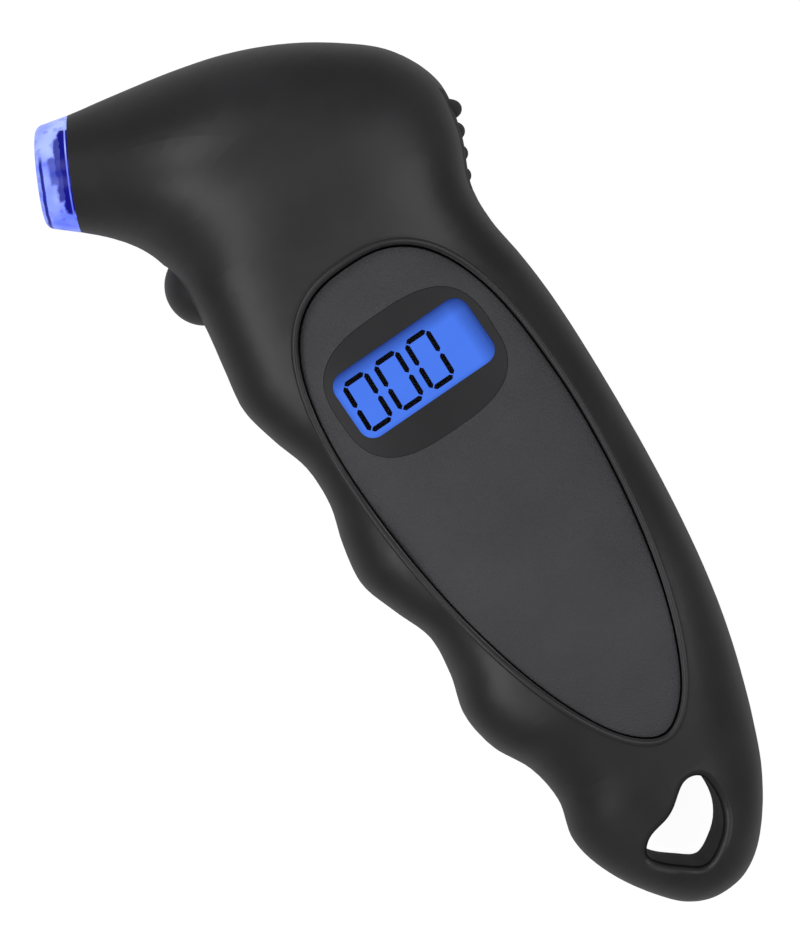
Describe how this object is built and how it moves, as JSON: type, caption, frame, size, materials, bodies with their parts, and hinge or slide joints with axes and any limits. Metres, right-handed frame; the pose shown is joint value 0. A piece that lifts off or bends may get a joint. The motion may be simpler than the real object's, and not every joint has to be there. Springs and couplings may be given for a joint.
{
  "type": "digital tyre pressure gauge",
  "caption": "Hand-held digital tyre pressure gauge with a wavy finger grip, lit display, trigger button, ribbed thumb pad, clear blue valve nozzle and a strap hole.",
  "frame": {"origin": "bottom centre of the bounding box: the middle of the gauge on the surface it lies on", "axes": "+X right with the display upright, +Y from the strap hole towards the nozzle head, +Z out of the display"},
  "size_m": [0.0584, 0.1453, 0.0293],
  "materials": {
    "housing_black": "black soft-touch plastic, fine grain",
    "panel_grey": "dark grey plastic with a fine grain",
    "bezel_black": "smooth satin black plastic",
    "clear_window": "clear acrylic window",
    "display_glass": "lit blue display with black segments",
    "light_white": "milky light guide",
    "strip_rubber": "banded conductive rubber",
    "frame_white": "white moulded plastic",
    "board_green": "green coated fibreglass board",
    "chip_black": "black moulded resin",
    "screw_steel": "zinc plated steel",
    "nozzle_blue": "clear blue tinted plastic",
    "lamp_blue": "clear blue lamp body",
    "seal_rubber": "black nitrile rubber",
    "pin_brass": "turned brass",
    "chamber_brass": "turned brass",
    "sensor_steel": "stainless can",
    "trigger_black": "smooth black plastic",
    "plunger_white": "white plastic plunger",
    "pad_rubber": "black moulded rubber",
    "tray_black": "black moulded plastic",
    "cell_steel": "nickel plated steel can",
    "contact_nickel": "nickel plated spring steel"
  },
  "bodies": {
    "housing": {"front_shell": "housing_black", "rear_shell": "housing_black", "face_panel": "panel_grey", "window_bezel": "bezel_black", "display_window": "clear_window", "lcd_glass": "display_glass", "backlight": "light_white", "contact_strip": "strip_rubber", "display_frame": "frame_white", "circuit_board": "board_green", "chip_cover": "chip_black", "board_screws": "screw_steel", "nozzle_tip": "nozzle_blue", "nozzle_lights": "lamp_blue", "nozzle_seal": "seal_rubber", "valve_pin": "pin_brass", "air_chamber": "chamber_brass", "sensor_seal": "seal_rubber", "pressure_sensor": "sensor_steel", "sensor_board": "board_green", "switch_case": "chip_black", "switch_board": "board_green", "thumb_pad": "pad_rubber", "battery_tray": "tray_black", "coin_cell": "cell_steel", "button_cells": "cell_steel", "battery_contacts": "contact_nickel", "battery_cover": "housing_black", "cover_screw": "screw_steel", "case_screws": "screw_steel"},
    "trigger": {"trigger_button": "trigger_black"},
    "plunger": {"switch_plunger": "plunger_white"}
  },
  "joints": [
    {"name": "trigger_press", "type": "slide", "parent": "housing", "child": "trigger", "axis": [1, 0, 0], "range_m": [0, 0.0005], "stiffness_N_per_m": 1500},
    {"name": "plunger_press", "type": "slide", "parent": "housing", "child": "plunger", "axis": [1, 0, 0], "range_m": [0, 0.0005], "stiffness_N_per_m": 200}
  ],
  "couplings": [
    {"joint": "plunger_press", "follows": "trigger_press", "ratio": 1}
  ]
}
